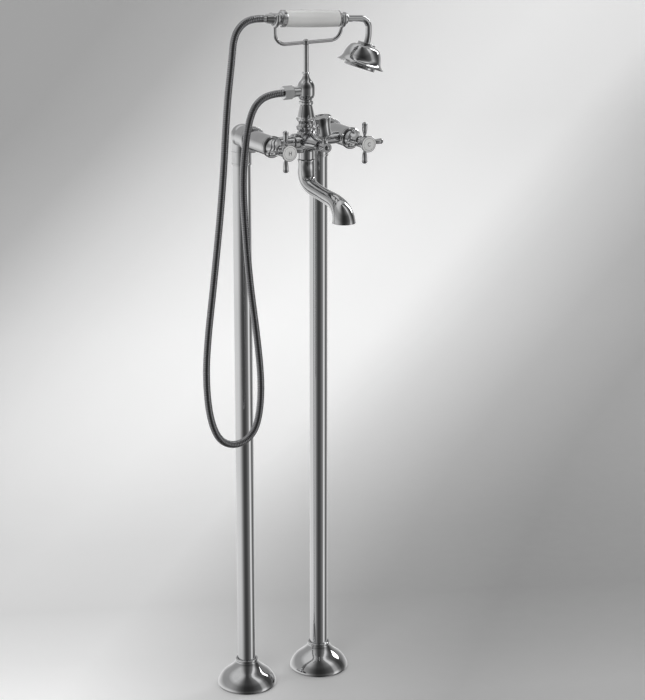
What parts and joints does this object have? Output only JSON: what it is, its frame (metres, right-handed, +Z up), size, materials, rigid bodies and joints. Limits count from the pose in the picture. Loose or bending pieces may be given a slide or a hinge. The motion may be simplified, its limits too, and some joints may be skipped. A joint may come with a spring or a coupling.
{
  "type": "floor standing bath filler",
  "caption": "Traditional chrome floor standing bath filler with cross handles, lever diverter, swan spout and a hand shower with a porcelain grip in a cradle.",
  "frame": {"origin": "on the floor, midway between the two standpipes' centre lines", "axes": "+Z up, the spout points along -Y, +X towards the cold side"},
  "size_m": [0.3442, 0.2904, 1.2368],
  "materials": {
    "chrome": "polished",
    "hose": "satin",
    "porcelain": "gloss",
    "brass": "satin",
    "disc": "satin",
    "seal": "matte",
    "steel": "satin",
    "straightener": "matte"
  },
  "bodies": {
    "stand": {"branch_nuts": "chrome", "centre_body": "chrome", "cold_barrel": "chrome", "cold_bonnet": "chrome", "cold_elbow": "chrome", "cold_floor_cover": "chrome", "cold_floor_plate": "brass", "cold_standpipe": "chrome", "cold_valve": "brass", "cradle": "chrome", "cradle_stem": "chrome", "diverter_bonnet": "chrome", "elbow_seals": "seal", "fixed_discs": "disc", "hose_ferrule": "chrome", "hose_nut": "chrome", "hose_washer": "seal", "hot_barrel": "chrome", "hot_bonnet": "chrome", "hot_elbow": "chrome", "hot_floor_cover": "chrome", "hot_floor_plate": "brass", "hot_standpipe": "chrome", "hot_valve": "brass", "inlet_sockets": "brass", "outlet_bulb": "chrome", "riser_cone": "chrome", "riser_nut": "chrome", "shower_hose": "hose", "sleeves": "chrome", "spout_nut": "chrome", "supply_pipes": "brass", "union_nuts": "chrome", "union_washers": "seal"},
    "hot_tap": {"hot_spindle": "brass", "hot_handle": "chrome", "hot_index": "porcelain", "hot_handle_screw": "steel"},
    "cold_tap": {"cold_spindle": "brass", "cold_handle": "chrome", "cold_index": "porcelain", "cold_handle_screw": "steel"},
    "diverter": {"diverter_spindle": "brass", "diverter_lever": "chrome", "diverter_cap": "chrome"},
    "spout_arm": {"spout": "chrome", "flow_straightener": "straightener", "spout_seal": "seal"},
    "hand_shower": {"grip": "porcelain", "grip_tube": "brass", "tail_ferrule": "chrome", "head_ferrule": "chrome", "shower_pipe": "chrome", "rose": "chrome", "spray_plate": "chrome", "rose_seal": "seal", "tail_washer": "seal", "tail_hose_ferrule": "chrome", "tail_nut": "chrome"}
  },
  "joints": [
    {"name": "hot_turn", "type": "hinge", "parent": "stand", "child": "hot_tap", "pos_m": [-0.075, -0.157, 1.015], "axis": [0, -1, 0], "range_deg": [-90, 0]},
    {"name": "cold_turn", "type": "hinge", "parent": "stand", "child": "cold_tap", "pos_m": [0.075, -0.157, 1.015], "axis": [0, -1, 0], "range_deg": [0, 90]},
    {"name": "diverter_turn", "type": "hinge", "parent": "stand", "child": "diverter", "pos_m": [0, -0.156, 1.015], "axis": [0, 1, 0], "range_deg": [-38, 52]},
    {"name": "spout_swivel", "type": "hinge", "parent": "stand", "child": "spout_arm", "pos_m": [0, -0.091, 0.99], "axis": [0, 0, 1], "range_deg": [-45, 45]},
    {"name": "hand_shower_lift", "type": "slide", "parent": "stand", "child": "hand_shower", "axis": [0.1132, 0, 0.9936], "range_m": [0, 0.06]}
  ]
}
